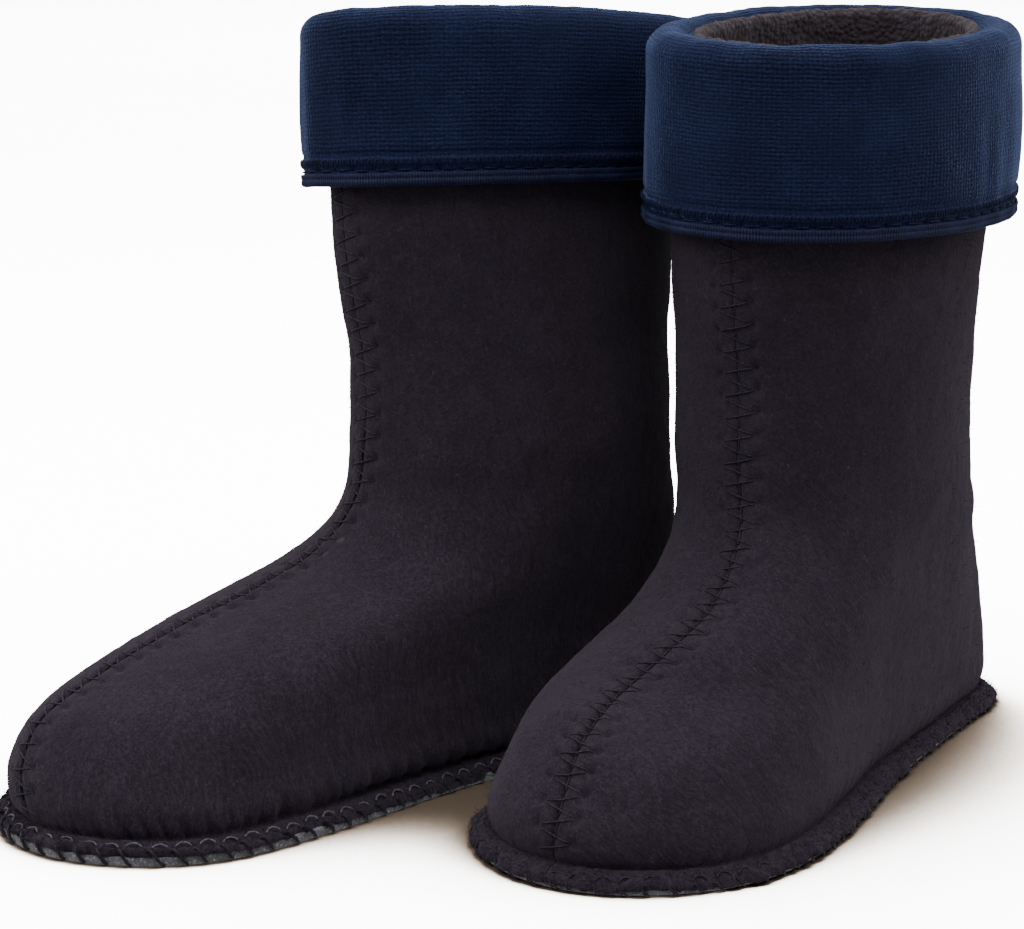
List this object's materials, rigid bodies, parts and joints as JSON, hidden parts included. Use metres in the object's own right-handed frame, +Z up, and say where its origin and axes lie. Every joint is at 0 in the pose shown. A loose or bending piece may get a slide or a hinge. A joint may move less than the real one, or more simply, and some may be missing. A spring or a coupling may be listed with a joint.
{
  "type": "pair of felt boot liners with fold-over knit cuffs",
  "caption": "Pair of tall felt boot liners with pile lining, turned-out stitched sole edge, zigzag front seam and soft knit cuffs folded over the mouths.",
  "frame": {"origin": "on the floor under the middle of the pair's bounding box", "axes": "+Z up out of the mouths, -Y is where the toes point, +X is the left foot's side; the toes turn out 7.8 degrees each side of -Y and the left liner stands further back"},
  "size_m": [0.2046, 0.303, 0.2197],
  "materials": {
    "felt": "dark charcoal needled felt, matte, with fine light fibres",
    "pile": "dark brown brushed pile, matte",
    "sole_ply": "pale grey pressed felt with a slight sparkle",
    "knit": "navy knit velour with a soft blue sheen",
    "tape": "navy ribbed tape and thread, matte",
    "thread": "grey violet polyester sewing thread, slight sheen"
  },
  "bodies": {
    "right_liner": {"right_upper_lateral": "felt", "right_upper_medial": "felt", "right_lining_lateral": "pile", "right_lining_medial": "pile", "right_sole": "sole_ply", "right_insole": "pile", "right_cuff": "knit", "right_cuff_binding": "tape", "right_cuff_overlock": "tape", "right_cuff_stitch": "thread", "right_cuff_seam": "tape", "right_front_zigzag": "thread", "right_front_lockstitch": "thread", "right_back_overlock": "thread", "right_edge_stitch": "thread", "right_sole_whip": "thread"},
    "left_liner": {"left_upper_lateral": "felt", "left_upper_medial": "felt", "left_lining_lateral": "pile", "left_lining_medial": "pile", "left_sole": "sole_ply", "left_insole": "pile", "left_cuff": "knit", "left_cuff_binding": "tape", "left_cuff_overlock": "tape", "left_cuff_stitch": "thread", "left_cuff_seam": "tape", "left_front_zigzag": "thread", "left_front_lockstitch": "thread", "left_back_overlock": "thread", "left_edge_stitch": "thread", "left_sole_whip": "thread"}
  },
  "joints": [
    {"name": "left_liner_lift", "type": "slide", "parent": "right_liner", "child": "left_liner", "axis": [0, 0, 1], "range_m": [0, 0.25]}
  ]
}
